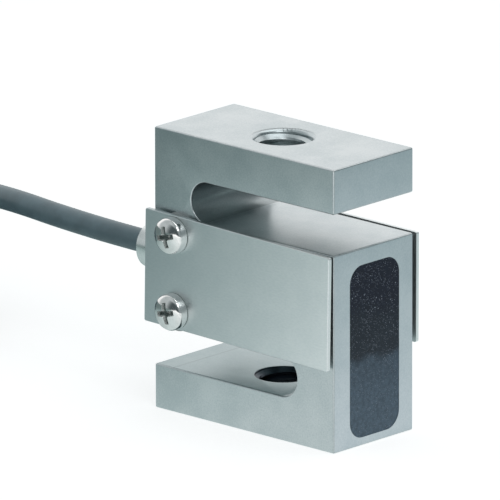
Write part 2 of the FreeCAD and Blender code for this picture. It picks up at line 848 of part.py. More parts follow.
def build_sealants(inner, cores):
    """Silicone that fills each gauge pocket round what is in it."""
    for name, side in SIDES.items():
        plug = add(
            "Cylinder",
            f"{name}_sealant_plug",
            Radius="gauge_pocket_diameter / 2",
            Height="( body_width - web_thickness ) / 2 - sealant_recess",
        )
        plug.Placement.Rotation = FreeCAD.Rotation(Vector(0, 0, 1), Vector(0, side, 0))
        place(plug, "0", f"{side} * web_thickness / 2", "body_height / 2")
        keep(hollow(plug, inner[name] + cores[name], f"{name}_sealant"), f"{name}_sealant")


def hollow(solid, contents, label):
    """The solid with the room that its contents take cut out of it."""
    together = document.addObject("Part::MultiFuse", f"{label}_contents")
    together.Shapes = contents
    result = document.addObject("Part::Cut", label)
    result.Base = solid
    result.Tool = together
    return result


def build_end_potting(cores):
    """Black resin that fills the end pocket round the compensation board and its resistors."""
    board = add(
        "Box",
        "compensation_board",
        Length="board_thickness",
        Width="end_pocket_width - 2 * board_margin",
        Height=f"{END_POCKET_HEIGHT} - 2 * board_margin",
    )
    floor = "body_length / 2 - end_pocket_depth"
    place(
        board,
        f"{floor} + board_standoff",
        "end_pocket_shift - end_pocket_width / 2 + board_margin",
        "end_pocket_bottom_wall + board_margin",
    )
    contents = [keep(board, board.Label)]
    for number in range(4):
        chip = add(
            "Box",
            f"trim_resistor_{number + 1}",
            Length="resistor_thickness",
            Width="resistor_length",
            Height="resistor_width",
        )
        place(
            chip,
            f"{floor} + board_standoff + board_thickness",
            "end_pocket_shift - resistor_length / 2",
            f"{END_POCKET_MIDDLE} + {number - 1.5} * resistor_pitch - resistor_width / 2",
        )
        contents.append(keep(chip, chip.Label))
    fill = document.addObject("PartDesign::Body", "potting_fill")
    sketch = new_sketch(fill, "YZ_Plane", floor)
    draw_end_pocket(sketch)
    new_feature(fill, "Pad", sketch, Length="end_pocket_depth - potting_recess")
    wires = [wire for side in cores.values() for wire in side if "board" in wire.Label]
    keep(hollow(fill, contents + wires, "end_potting"), "end_potting")


# Cable


def rounded_path(points):
    """Straight runs joined by tangent arcs, each as large as its two runs allow, and their radii."""
    edges, radii = [], []
    start = points[0]
    for before, corner, after in zip(points, points[1:], points[2:]):
        back, on = (before - corner), (after - corner)
        turn = math.pi - back.getAngle(on)
        radius = ARC_SHARE * min(back.Length, on.Length) / math.tan(turn / 2)
        reach = ARC_SHARE * min(back.Length, on.Length)
        back.normalize()
        on.normalize()
        first, last = corner + back * reach, corner + on * reach
        inward = (back + on).normalize()
        centre = corner + inward * (radius / math.cos(turn / 2))
        edges.append(Part.LineSegment(start, first).toShape())
        edges.append(Part.Arc(first, centre - inward * radius, last).toShape())
        radii.append(radius)
        start = last
    edges.append(Part.LineSegment(start, points[-1]).toShape())
    return Part.Wire(edges), radii


def pipe(points, diameter):
    """A round pipe along the rounded path, as one solid."""
    path, radii = rounded_path(points)
    direction = points[1] - points[0]
    ring = Part.Wire([Part.makeCircle(diameter / 2, points[0], direction)])
    solid = path.makePipeShell([ring], True, False)
    section = math.pi * diameter**2 / 4
    share = solid.Volume / (section * path.Length)
    print(f"pipe {path.Length:.1f} mm, radii", [round(r, 1) for r in radii], f"volume {share:.4f}")
    return solid


def keep_shape(shape, label):
    """A piece whose shape is made by Part's own functions."""
    thing = document.addObject("Part::Feature", label)
    thing.Shape = shape
    return keep(thing, label)


def build_cable():
    """The free stretch, from inside the gland to the hank."""
    keep_shape(pipe(from_gland(CABLE_ROUTE), value("cable_diameter")), "cable_tube")


def from_gland(route):
    """A route's points, whose x is measured from the face that the gland screws into."""
    face = -value("body_length / 2")
    return [Vector(face + x, y, z) for x, y, z in route]


def stadium(radius, centres, bottom, height):
    """A block with round ends about two centres, given by their x."""
    far, near = sorted(centres)
    shape = Part.makeBox(near - far, 2 * radius, height, Vector(far, -radius, bottom))
    for x in centres:
        shape = shape.fuse(Part.makeCylinder(radius, height, Vector(x, 0, bottom)))
    return shape.removeSplitter()


def build_hank():
    """The put-away length: its outer shape as a hollow ring, with a tail at each end of the turns."""
    diameter, bottom = value("cable_diameter"), value("tie_thickness")
    height = diameter * value("hank_layers")
    inner = value("hank_inner_radius")
    outer = inner + diameter * value("hank_columns")
    near = -value("body_length / 2 + hank_distance") - outer
    far = near - value("hank_run")
    ring = stadium(outer, (near, far), bottom, height)
    ring = ring.cut(stadium(inner, (near, far), bottom, height))
    for tail in (HANK_LEAD_IN, HANK_LEAD_OUT):
        ring = ring.fuse(pipe(from_gland(tail), diameter))
    keep_shape(ring, "cable_hank")
    at = (near + far) / 2 - value("tie_offset")
    for name, side in SIDES.items():
        keep_shape(tie(side, at, (inner, outer), bottom, height), f"{name}_hank_tie")


def tie(side, at, radii, bottom, height):
    """A flat strap round one side of the hank, with its head and the strap's tail on top."""
    thick, wide = value("tie_thickness"), value("tie_width")
    low, high = sorted(side * radius for radius in radii)
    corner = Vector(at - wide / 2, low, bottom)
    around = Vector(0, thick, thick)
    strap = Part.makeBox(wide, high - low + 2 * thick, height + 2 * thick, corner - around)
    long_edges = [edge for edge in strap.Edges if is_straight(edge, "x")]
    strap = strap.makeFillet(thick, long_edges)
    strap = strap.cut(Part.makeBox(wide, high - low, height, corner))
    middle, top = Vector(at, (low + high) / 2, bottom + height), Vector(0, 0, thick / 2)
    head = block(middle + top, *(value(f"tie_head_{size}") for size in ("length", "width", "height")))
    reach = value("tie_tail_length")
    inward = Vector(0, -side * (value("tie_head_width") + reach) / 2, 2 * thick)
    tail = block(middle + inward, value("tie_tail_width"), reach, thick)
    return strap.fuse(head).fuse(tail)


def block(middle, length, width, height):
    """A box that stands on a point at the middle of its base."""
    return Part.makeBox(length, width, height, middle - Vector(length / 2, width / 2, 0))


def build_cable_end():
    """A boot on the end of the jacket, four insulated leads with tinned tips and the drain wire."""
    before, end = from_gland(HANK_LEAD_OUT[-2:])
    along = (end - before).normalize()
    boot_length = value("boot_length")
    wide, narrow = value("cable_diameter / 2"), value("boot_tip_diameter / 2")
    keep_shape(Part.makeCone(wide, narrow, boot_length, end, along), "cable_end_boot")
    mouth = end + along * boot_length
    across = Vector(-along.y, along.x, 0)
    up = Vector(0, 0, 1)
    spread, fan, droop = value("lead_spread"), value("lead_fan"), value("lead_droop")
    places = [(1, 1), (-1, 1), (1, -1), (-1, -1)]
    for colour, (right, high) in zip(LEADS, places):
        start = mouth + across * (right * spread) + up * (high * spread)
        heading = along + across * (fan * right) - up * (droop * (2 + high))
        keep_shape(lead(start, heading.normalize(), along), f"{colour}_lead")
    tip = value("lead_tip_diameter / 2")
    drain = Part.makeCylinder(tip, value("lead_length + lead_tip_length"), mouth, along)
    keep_shape(drain, "drain_wire")


def lead(start, heading, along):
    """An insulated lead and its tip, trimmed flat where it leaves the boot."""
    radius, tip_radius = value("lead_diameter / 2"), value("lead_tip_diameter / 2")
    length, tip_length = value("lead_length"), value("lead_tip_length")
    overrun = radius
    insulation = Part.makeCylinder(radius, length + overrun, start - heading * overrun, heading)
    copper = Part.makeCylinder(tip_radius, tip_length, start + heading * length, heading)
    behind = Part.makeCylinder(4 * radius, 4 * overrun, start - along * (4 * overrun), along)
    return insulation.fuse(copper).cut(behind)


# Check and export


def export():
    document.recompute()
    for thing in document.Objects:
        check(thing)
    os.makedirs("parts", exist_ok=True)
    for piece in pieces:
        shape = piece.Shape
        if shape.isNull() or not shape.isValid() or not shape.Solids:
            raise RuntimeError(f"{piece.Label} has no valid solid")
    for piece in pieces:
        piece.Shape.exportStep(f"parts/{piece.Label}.step")
        print(f"{piece.Label}: {len(piece.Shape.Solids)} solid, {piece.Shape.Volume:.2f} mm3")


def build():
    fill_sheet()
    build_spring_element()
    build_covers()
    build_washers_and_screws()
    build_gland()
    inner = build_gauges()
    cores = build_cores()
    build_sealants(inner, cores)
    build_end_potting(cores)
    build_cable()
    build_hank()
    build_cable_end()
    export()


build()
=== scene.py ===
import math

import bmesh
import bpy
from mathutils import Matrix, Vector


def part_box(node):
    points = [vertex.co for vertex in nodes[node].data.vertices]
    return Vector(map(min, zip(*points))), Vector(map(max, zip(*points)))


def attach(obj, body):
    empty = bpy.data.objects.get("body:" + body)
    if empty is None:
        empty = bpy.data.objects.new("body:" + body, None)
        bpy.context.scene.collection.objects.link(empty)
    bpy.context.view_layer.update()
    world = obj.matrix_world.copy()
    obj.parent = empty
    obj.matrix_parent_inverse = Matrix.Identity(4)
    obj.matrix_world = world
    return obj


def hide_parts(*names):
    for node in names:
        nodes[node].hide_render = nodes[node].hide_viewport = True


# Looks of the S type load cell, in metres, in the frame of the CAD model: +Z is the load axis, the
# cable leaves at -X, the potted end is at +X and the front cover is at -Y.

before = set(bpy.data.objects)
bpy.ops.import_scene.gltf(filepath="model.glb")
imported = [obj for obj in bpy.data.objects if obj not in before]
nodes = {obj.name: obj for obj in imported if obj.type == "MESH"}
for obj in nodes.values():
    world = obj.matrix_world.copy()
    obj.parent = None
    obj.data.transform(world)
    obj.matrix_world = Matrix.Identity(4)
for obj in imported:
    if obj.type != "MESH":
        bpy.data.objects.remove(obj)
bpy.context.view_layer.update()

ELEMENT_LOW, ELEMENT_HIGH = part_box("spring_element")
FACE_X = ELEMENT_LOW.x
MM = 0.001

# Sizes that part.py has too, or works out

ARM_THICKNESS = 9.6 * MM
SLOT_HEIGHT = 8.8 * MM
HEAD_HEIGHT = 3.077 * MM
HEAD_DOME_RADIUS = 7.6 * MM
THREAD_RADIUS = 6.0 * MM
COUNTERSINK_RADIUS = 6.9 * MM
CABLE_DIAMETER = 5.0 * MM
TIE_THICKNESS = 0.8 * MM

LEAD_COLOURS = {
    "red": (0.42, 0.012, 0.014),
    "black": (0.012, 0.012, 0.013),
    "green": (0.015, 0.20, 0.045),
    "white": (0.72, 0.72, 0.69),
}


def add_object(name, data):
    added = bpy.data.objects.new(name, data)
    bpy.context.collection.objects.link(added)
    return added


def add_mesh(name, mesh):
    """An object from a bmesh, which is freed."""
    data = bpy.data.meshes.new(name)
    mesh.to_mesh(data)
    mesh.free()
    return add_object(name, data)


# Camera

CAMERA_AZIMUTH = math.radians(42.92)
CAMERA_ELEVATION = math.radians(15.99)
CAMERA_ROLL = math.radians(-0.10)
CAMERA_DISTANCE = 3.2808
CAMERA_TARGET = Vector((-0.00657, -0.00317, 0.03592))
FOCAL_LENGTH = 1135.1
SENSOR_WIDTH = 36.0


def add_camera():
    """A long lens at the photograph's viewing angle, with a hair of roll."""
    level = math.cos(CAMERA_ELEVATION)
    sideways, forwards = math.sin(CAMERA_AZIMUTH) * level, -math.cos(CAMERA_AZIMUTH) * level
    back = Vector((sideways, forwards, math.sin(CAMERA_ELEVATION)))
    data = bpy.data.cameras.new("camera")
    data.lens = FOCAL_LENGTH
    data.sensor_width = SENSOR_WIDTH
    data.clip_start, data.clip_end = 0.1, 20.0
    camera = add_object("camera", data)
    turn = back.to_track_quat("Z", "Y").to_matrix() @ Matrix.Rotation(CAMERA_ROLL, 3, "Z")
    place = CAMERA_TARGET + back * CAMERA_DISTANCE
    camera.matrix_world = Matrix.Translation(place) @ turn.to_4x4()
    bpy.context.scene.camera = camera


# Materials


class NodeTree:
    """Short ways to add and join the nodes of a material or of the world."""

    def __init__(self, tree):
        self.tree = tree

    def add(self, kind, **settings):
        node = self.tree.nodes.new(kind)
        for name, value in settings.items():
            setattr(node, name, value)
        return node

    def set(self, node, socket, value):
        """Links a socket to another node's output, or gives it a value."""
        target = node.inputs[socket]
        if isinstance(value, bpy.types.NodeSocket):
            self.tree.links.new(value, target)
        elif isinstance(value, tuple) and len(value) == 3 and target.type == "RGBA":
            target.default_value = (*value, 1)
        else:
            target.default_value = value

    def link(self, shader, node, socket):
        """Links a shader node to a node's socket."""
        self.tree.links.new(shader.outputs[0], node.inputs[socket])

    def choose(self, factor, otherwise, chosen):
        """One shader or the other, by a factor of 0 to 1."""
        node = self.add("ShaderNodeMixShader")
        self.set(node, "Fac", factor)
        self.link(otherwise, node, 1)
        self.link(chosen, node, 2)
        return node

    def emission(self, colour, strength):
        node = self.add("ShaderNodeEmission")
        self.set(node, "Color", colour)
        self.set(node, "Strength", strength)
        return node

    def rays(self):
        """Two factors: 1 for camera rays, and 1 for reflected or transmitted rays."""
        path = self.add("ShaderNodeLightPath").outputs
        reflected = self.maths("MAXIMUM", path["Is Glossy Ray"], path["Is Transmission Ray"])
        return path["Is Camera Ray"], reflected

    def maths(self, operation, a, b=0.0):
        node = self.add("ShaderNodeMath", operation=operation)
        self.set(node, 0, a)
        self.set(node, 1, b)
        return node.outputs["Value"]

    def product(self, *factors):
        result = factors[0]
        for factor in factors[1:]:
            result = self.maths("MULTIPLY", result, factor)
        return result

    def map_range(self, value, ends, low, high, **settings):
        """A value moved From or To the range low to high, as ends says. The other is 0 to 1."""
        node = self.add("ShaderNodeMapRange", **settings)
        for socket, number in (("Value", value), (f"{ends} Min", low), (f"{ends} Max", high)):
            self.set(node, socket, number)
        return node.outputs["Result"]

    def step(self, value, low, high):
        """0 up to low and 1 from high, with a smooth rise between them."""
        return self.map_range(value, "From", low, high, interpolation_type="SMOOTHSTEP")

    def spread(self, value, low, high):
        """A value from 0 to 1, moved to low to high."""
        return self.map_range(value, "To", low, high)

    def spread_between(self, value, low, high):
        """A value from low to high, moved to 0 to 1."""
        return self.map_range(value, "From", low, high)

    def mix(self, factor, a, b):
        """The colour a at a factor of 0, and b at 1."""
        node = self.add("ShaderNodeMix", data_type="RGBA")
        for socket, value in (("Factor_Float", factor), ("A_Color", a), ("B_Color", b)):
            target = next(s for s in node.inputs if s.identifier == socket)
            if isinstance(value, bpy.types.NodeSocket):
                self.tree.links.new(value, target)
            else:
                target.default_value = (*value, 1) if isinstance(value, tuple) else value
        return next(s for s in node.outputs if s.identifier == "Result_Color")

    def tint(self, tone, place, amount, colour):
        """The tone, moved towards a colour by an amount at one place."""
        return self.mix(self.maths("MULTIPLY", place, amount), tone, colour)

    def ramp(self, value, *stops):
        """A colour or grey by value, from (place, colour) stops."""
        node = self.add("ShaderNodeValToRGB")
        elements = node.color_ramp.elements
        while len(elements) < len(stops):
            elements.new(0.5)
        for element, (place, colour) in zip(elements, stops):
            element.position = place
            rgb = colour if isinstance(colour, tuple) else (colour,) * 3
            element.color = (*rgb, 1)
        self.set(node, "Fac", value)
        return node.outputs["Color"]


class Material(NodeTree):
    """A material with its shader, whose nodes read the object's own coordinates."""

    def __init__(self, name, **values):
        self.data = bpy.data.materials.new(name)
        self.data.use_nodes = True
        super().__init__(self.data.node_tree)
        self.shader = self.tree.nodes["Principled BSDF"]
        self.place = self.add("ShaderNodeTexCoord").outputs["Object"]
        for socket, value in values.items():
            self.set(self.shader, socket, value)

    def stretched(self, scale):
        """The object's coordinates, scaled along each axis."""
        mapping = self.add("ShaderNodeMapping")
        self.set(mapping, "Vector", self.place)
        self.set(mapping, "Scale", scale)
        return mapping.outputs["Vector"]

    def along(self, axis):
        """The object's coordinate along an axis."""
        node = self.add("ShaderNodeSeparateXYZ")
        self.set(node, "Vector", self.place)
        return node.outputs[axis]

    def noise(self, size, detail, stretch=None):
        """Noise whose features are about size across, in metres."""
        node = self.add("ShaderNodeTexNoise")
        self.set(node, "Vector", self.stretched(stretch) if stretch else self.place)
        self.set(node, "Scale", 1 / size)
        self.set(node, "Detail", detail)
        return node.outputs["Fac"]

    def speckle(self, per_metre, least):
        """Small dots at random places, in as many of the cells as least leaves."""
        cells = self.add("ShaderNodeTexVoronoi", feature="F1")
        self.set(cells, "Vector", self.place)
        self.set(cells, "Scale", per_metre)
        dots = self.ramp(cells.outputs["Distance"], (0.10, 1.0), (0.34, 0.0))
        chosen = self.ramp(cells.outputs["Color"], (least, 0.0), (least + 0.10, 1.0))
        return self.maths("MULTIPLY", dots, chosen)

    def bump(self, height, distance, strength):
        """Roughens the shader's normal by a height, scaled to distance, in metres."""
        node = self.add("ShaderNodeBump")
        self.set(node, "Height", height)
        self.set(node, "Distance", distance)
        self.set(node, "Strength", strength)
        self.set(self.shader, "Normal", node.outputs["Normal"])

    def finish(self, colour, roughness):
        """Gives the shader its colour and roughness, and gives back the material."""
        self.set(self.shader, "Base Color", colour)
        self.set(self.shader, "Roughness", roughness)
        return self.data


def satin_metal(name, dark, light, roughness, grain=None, shade=None):
    """Ground and plated metal: clouds of tone, a fine grain, and painted shade by place if given.
    """
    material = Material(name, Metallic=1.0)
    clouds = material.noise(7 * MM, 3.0)
    grains = material.noise(0.35 * MM, 2.0, grain)
    halves = [material.maths("MULTIPLY", part, 0.5) for part in (grains, clouds)]
    both = material.maths("ADD", *halves)
    tone = material.ramp(both, (0.38, dark), (0.62, light))
    material.bump(grains, 0.008 * MM, 0.45)
    tone = shade(material, tone) if shade else tone
    return material.finish(tone, material.spread(both, *roughness))


# Places on the spring element with painted shade, a painted reflection tint or a dark line:
# where each starts and is whole
SLOT_INSET = (0.12 * MM, 0.3 * MM)
LOWER_SLOT_END = (19.5 * MM, 19.0 * MM)
LINE_START = (-20.55 * MM, -20.45 * MM)
LINE_END = (-19.8 * MM, -20.3 * MM)
SLOT_MARGIN = 0.05 * MM
HOLE_MARGIN = 0.02 * MM
HOLE_SHADE_RADIUS = 6.15 * MM
CORNER_WIDTH = 0.35 * MM
END_DEPTH = 0.03 * MM


def element_shade(material, tone):
    """Painted shade inside the slots and in the load holes, a painted reflection that tints the
    end face bluer, painted shade that dims the front right corner to a faint line, and a dark line
    across the lower arm."""
    x, y, z = (material.along(axis) for axis in "XYZ")
    ceiling = ELEMENT_HIGH.z - ARM_THICKNESS
    far_y = material.maths("ABSOLUTE", y)
    within = material.step(far_y, *(ELEMENT_HIGH.y - inset for inset in SLOT_INSET))

    def in_slot(floor, top, *limits):
        above = material.maths("GREATER_THAN", z, floor)
        return material.product(within, above, material.maths("LESS_THAN", z, top), *limits)

    lower_top = ARM_THICKNESS + SLOT_HEIGHT + SLOT_MARGIN
    lower_end = material.step(x, *LOWER_SLOT_END)
    in_lower = in_slot(ARM_THICKNESS - SLOT_MARGIN, lower_top, lower_end)
    line = material.product(in_lower, material.step(x, *LINE_START), material.step(x, *LINE_END))
    in_upper = in_slot(ceiling - SLOT_HEIGHT + SLOT_MARGIN, ceiling + SLOT_MARGIN)
    at_right = material.maths("GREATER_THAN", x, ELEMENT_HIGH.x - CORNER_WIDTH)
    at_front = material.maths("LESS_THAN", y, ELEMENT_LOW.y + CORNER_WIDTH)
    corner = material.product(at_right, at_front)
    end = material.maths("GREATER_THAN", x, ELEMENT_HIGH.x - END_DEPTH)
    squares = [material.maths("MULTIPLY", part, part) for part in (x, y)]
    hole = material.maths("LESS_THAN", material.maths("ADD", *squares), HOLE_SHADE_RADIUS**2)
    lower_arm = material.maths("LESS_THAN", z, ARM_THICKNESS + HOLE_MARGIN)
    upper_arm = material.maths("GREATER_THAN", z, ceiling - HOLE_MARGIN)
    for place, amount, colour in (
        # Painted shade inside the lower slot
        (in_lower, 0.38, (0.0, 0.13, 0.14)),
        # A dark line across the lower arm in the lower slot
        (line, 0.22, (0.05, 0.08, 0.09)),
        # Painted shade inside the upper slot
        (in_upper, 0.40, (0.05, 0.08, 0.085)),
        # Painted shade that dims the highlight on the front right corner
        (corner, 0.08, (0.08, 0.10, 0.10)),
        # A painted reflection that tints the end face bluer
        (end, 0.25, (0.60, 0.68, 0.80)),
        # Painted shade in the lower load hole, near black
        (material.product(hole, lower_arm), 0.86, (0.0, 0.01, 0.03)),
        # Faint painted shade in the upper load hole
        (material.product(hole, upper_arm), 0.04, (0.05, 0.06, 0.07)),
    ):
        tone = material.tint(tone, place, amount, colour)
    return tone


def element_metal():
    tones = (0.545, 0.605, 0.62), (0.675, 0.72, 0.73)
    return satin_metal("element_metal", *tones, (0.28, 0.36), shade=element_shade)


COVER_SHADE_FROM, COVER_SHADE_TO = 25 * MM, -27 * MM


def cover_shade(material, tone):
    """Painted shade: the cover plates get darker and bluer towards the cable."""
    share = material.spread_between(material.along("X"), COVER_SHADE_FROM, COVER_SHADE_TO)
    return material.tint(tone, share, 0.36, (0.03, 0.13, 0.15))


def cover_metal():
    tones = (0.82, 0.865, 0.87), (0.90, 0.935, 0.935)
    return satin_metal("cover_metal", *tones, (0.34, 0.42), (0.4, 1, 1), cover_shade)


def washer_metal():
    return satin_metal("washer_metal", (0.45, 0.46, 0.46), (0.55, 0.56, 0.56), (0.30, 0.42))


def bright_metal(name, colour, roughness):
    """Plating over turned metal, with faint wear."""
    material = Material(name, Metallic=1.0)
    wear = material.noise(1.8 * MM, 4.0)
    faded = tuple(0.88 * channel for channel in colour)
    material.bump(material.noise(0.4 * MM, 2.0), 0.004 * MM, 0.3)
    tone = material.ramp(wear, (0.35, faded), (0.6, colour))
    return material.finish(tone, material.spread(wear, *roughness))


# A screw's painted shade: in the cross recess by depth under the dome, with a painted highlight
# dot left at its middle, by squared distance, and a painted shadow at the foot of its head, by
# height above the plate
RECESS_REACH = 2.6 * MM
RECESS_SHADE = (0.30 * MM, 0.85 * MM)
RECESS_BEVEL = (0.02 * MM, 0.10 * MM)
RECESS_DOT = ((0.22 * MM) ** 2, (0.45 * MM) ** 2)
HEAD_FOOT = (0.26 * MM, 0.08 * MM)


def screw_metal():
    """Bright plating, with painted shade in the cross recess and a painted shadow where the head
    meets the plate.
    """
    material = Material("screw_metal", Metallic=1.0)
    low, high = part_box("upper_front_screw")
    lower_low, lower_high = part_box("lower_front_screw")
    seat = -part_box("front_cover")[0].y
    middle = (low.z + high.z + lower_low.z + lower_high.z) / 4
    spacing = (low.z - lower_low.z) / 2
    across = material.maths("SUBTRACT", material.along("X"), (low.x + high.x) / 2)
    from_middle = material.maths("SUBTRACT", material.along("Z"), middle)
    up = material.maths("SUBTRACT", material.maths("ABSOLUTE", from_middle), spacing)
    squares = [material.maths("MULTIPLY", part, part) for part in (across, up)]
    square = material.maths("ADD", *squares)
    height = material.maths("ABSOLUTE", material.along("Y"))
    drop = material.maths("DIVIDE", square, 2 * HEAD_DOME_RADIUS)
    dome = material.maths("SUBTRACT", seat + HEAD_HEIGHT, drop)
    depth = material.maths("SUBTRACT", dome, height)
    inside = material.maths("LESS_THAN", square, RECESS_REACH**2)
    # The middle of the recess is left bright: a painted highlight dot
    off_dot = material.step(square, *RECESS_DOT)
    recess = material.product(material.step(depth, *RECESS_SHADE), inside, off_dot)
    bevel = material.product(material.step(depth, *RECESS_BEVEL), inside, 0.35)
    foot = material.step(material.maths("SUBTRACT", height, seat), *HEAD_FOOT)
    recess_and_foot_shade = material.maths("MAXIMUM", recess, foot)
    wear = material.noise(1.8 * MM, 4.0)
    bright = material.ramp(wear, (0.35, (0.82, 0.82, 0.81)), (0.6, (0.92, 0.92, 0.91)))
    worn = material.maths("ADD", material.spread(wear, 0.08, 0.14), bevel)
    # Painted shade in the recess and painted shadow at the head's foot, in a darker grey, also
    # rougher
    tone = material.mix(recess_and_foot_shade, bright, (0.42, 0.47, 0.46))
    return material.finish(tone, material.maths("ADD", worn, recess_and_foot_shade))


POTTING_TONES = (
    (0.08, (0.140, 0.205, 0.268)),
    (0.30, (0.122, 0.180, 0.240)),
    (0.43, (0.095, 0.142, 0.192)),
    (0.48, (0.024, 0.038, 0.056)),
    (0.66, (0.014, 0.025, 0.042)),
    (0.78, (0.004, 0.010, 0.030)),
)
POTTING_TONE_HEIGHT = 40 * MM
POTTING_WANDER = 4.2 * MM


def potting_resin():
    """Dark resin, greyer lower down, with bright specks that are larger in the dark upper part."""
    material = Material("potting_resin", IOR=1.34)
    wander = material.spread(material.noise(6 * MM, 2.0), -POTTING_WANDER, POTTING_WANDER)
    height = material.maths("ADD", material.along("Z"), wander)
    level = material.spread_between(height, 0.0, POTTING_TONE_HEIGHT)
    base = material.ramp(level, *POTTING_TONES)
    mottle = material.ramp(material.noise(0.9 * MM, 4.0), (0.35, 0.72), (0.65, 1.0))
    base = material.mix(mottle, (0.0, 0.0, 0.0), base)
    upper = material.spread(material.step(level, 0.58, 0.74), 0.25, 1.0)
    clumps = material.spread(material.step(material.noise(3.5 * MM, 1.0), 0.42, 0.60), 0.38, 0.85)
    fine = material.maths("MULTIPLY", material.speckle(3300.0, 0.42), clumps)
    coarse = material.maths("MULTIPLY", material.speckle(1900.0, 0.72), upper)
    specks = material.maths("MAXIMUM", fine, coarse)
    material.bump(material.noise(1.2 * MM, 3.0), 0.04 * MM, 0.3)
    return material.finish(material.mix(specks, base, (0.56, 0.62, 0.74)), 0.42)


def soft_plastic(name, colour, roughness, depth=0.01 * MM):
    """Extruded or moulded plastic with a faint mottle."""
    material = Material(name)
    mottle = material.noise(4 * MM, 3.0)
    darker = tuple(0.8 * channel for channel in colour)
    material.bump(material.noise(0.3 * MM, 2.0), depth, 0.5)
    tone = material.ramp(mottle, (0.35, darker), (0.65, colour))
    return material.finish(tone, material.spread(mottle, roughness - 0.06, roughness + 0.06))


def jacket_pvc():
    """Matt extruded PVC, a dark blue grey."""
    return soft_plastic("cable_jacket", (0.148, 0.220, 0.250), 0.35, 0.015 * MM)


def ending(suffix):
    return [name for name in nodes if name.endswith(suffix)]


def finish_nodes():
    """Materials and smooth shading for the CAD nodes."""
    resistors = [name for name in nodes if name.startswith("trim_resistor")]
    gland = bright_metal("gland_metal", (0.93, 0.96, 0.95), (0.20, 0.30))
    finishes = [
        (["spring_element"], element_metal()),
        (ending("_cover"), cover_metal()),
        (ending("_washer"), washer_metal()),
        (ending("_screw"), screw_metal()),
        (["gland_body", "gland_nut"], gland),
        (ending("_gauge"), soft_plastic("gauge_foil", (0.42, 0.20, 0.04), 0.35)),
        (ending("_terminal"), bright_metal("terminal", (0.72, 0.48, 0.26), (0.25, 0.4))),
        (ending("_sealant"), soft_plastic("sealant", (0.62, 0.62, 0.58), 0.4)),
        (resistors, soft_plastic("resistor", (0.02, 0.02, 0.02), 0.3)),
        (ending("_tie"), soft_plastic("tie_nylon", (0.016, 0.016, 0.017), 0.42)),
        (["gland_seal"], soft_plastic("seal_rubber", (0.02, 0.02, 0.02), 0.7)),
        (["compensation_board"], soft_plastic("board", (0.012, 0.10, 0.04), 0.35)),
        (["end_potting"], potting_resin()),
        (["cable_end_boot", "cable_tube", "cable_hank"], JACKET),
        (["drain_wire"], bright_metal("tinned_copper", (0.68, 0.66, 0.62), (0.25, 0.4))),
    ]
    for colour, rgb in LEAD_COLOURS.items():
        insulated = [f"{colour}_core", f"{colour}_board_wire", f"{colour}_lead"]
        finishes.append((insulated, soft_plastic(f"{colour}_insulation", rgb, 0.4)))
    for names, finish in finishes:
        for name in names:
            slots = nodes[name].data.materials
            slots.clear()
            slots.append(finish)
    for name, node in nodes.items():
        smooth(node, smooth_angle(name))


def smooth_angle(name):
    """The sharpest corner, in degrees, that still shades as part of a curve."""
    if name == "spring_element":
        return 50.0
    return 40.0 if name == "gland_nut" or name.endswith("_screw") else 30.0


def smooth(piece, angle):
    """Smooth shading over curved faces, with flat faces kept flat and corners sharp."""
    for polygon in piece.data.polygons:
        polygon.use_smooth = True
    weld = piece.modifiers.new("weld", "WELD")
    weld.merge_threshold = 1e-6
    split = piece.modifiers.new("split", "EDGE_SPLIT")
    split.split_angle = math.radians(angle)
    weighted = piece.modifiers.new("weighted", "WEIGHTED_NORMAL")
    weighted.keep_sharp = True


# Threads of the two load holes

THREAD_PITCH = 1.75 * MM
THREAD_CREST_RADIUS = 5.053 * MM
THREAD_ROOT_RADIUS = THREAD_RADIUS + 0.03 * MM
THREAD_CREST = THREAD_PITCH / 8
THREAD_ROOT = THREAD_PITCH * 0.4375
THREAD_STEPS = 96
INNER_CHAMFER = 0.2 * MM


def thread_ridge(name, outer_z, inner_z):
    """The ridge of an internal thread, as a coil of its section, cut back by the countersink."""
    towards = 1 if outer_z > inner_z else -1
    length = abs(outer_z - inner_z)
    span = length - INNER_CHAMFER
    section = [
        (THREAD_ROOT_RADIUS, -THREAD_ROOT),
        (THREAD_CREST_RADIUS, -THREAD_CREST),
        (THREAD_CREST_RADIUS, THREAD_CREST),
        (THREAD_ROOT_RADIUS, THREAD_ROOT),
    ]
    mesh = bmesh.new()
    rings = []
    count = round(span / THREAD_PITCH * THREAD_STEPS)
    for step in range(count + 1):
        angle = 2 * math.pi * step / THREAD_STEPS
        middle = INNER_CHAMFER + span * step / count
        ring = []
        for radius, offset in section:
            depth = min(max(middle + offset, 0.0), length)
            cone = COUNTERSINK_RADIUS - (length - depth)
            inner_cone = THREAD_RADIUS + INNER_CHAMFER - depth
            reach = max(radius, cone, inner_cone)
            z = inner_z + towards * depth
            ring.append(mesh.verts.new((reach * math.cos(angle), reach * math.sin(angle), z)))
        rings.append(ring)
    for ring, following in zip(rings, rings[1:]):
        for a in range(len(section)):
            b = (a + 1) % len(section)
            mesh.faces.new((ring[a], ring[b], following[b], following[a]))
    mesh.faces.new(rings[0])
    mesh.faces.new(reversed(rings[-1]))
    bmesh.ops.recalc_face_normals(mesh, faces=mesh.faces)
    ridge = add_mesh(name, mesh)
    ridge.data.materials.append(nodes["spring_element"].data.materials[0])
    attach(ridge, "root")


def add_threads():
    top = ELEMENT_HIGH.z
    thread_ridge("upper_thread_ridge", top, top - ARM_THICKNESS)
    thread_ridge("lower_thread_ridge", 0.0, ARM_THICKNESS)


# Cable

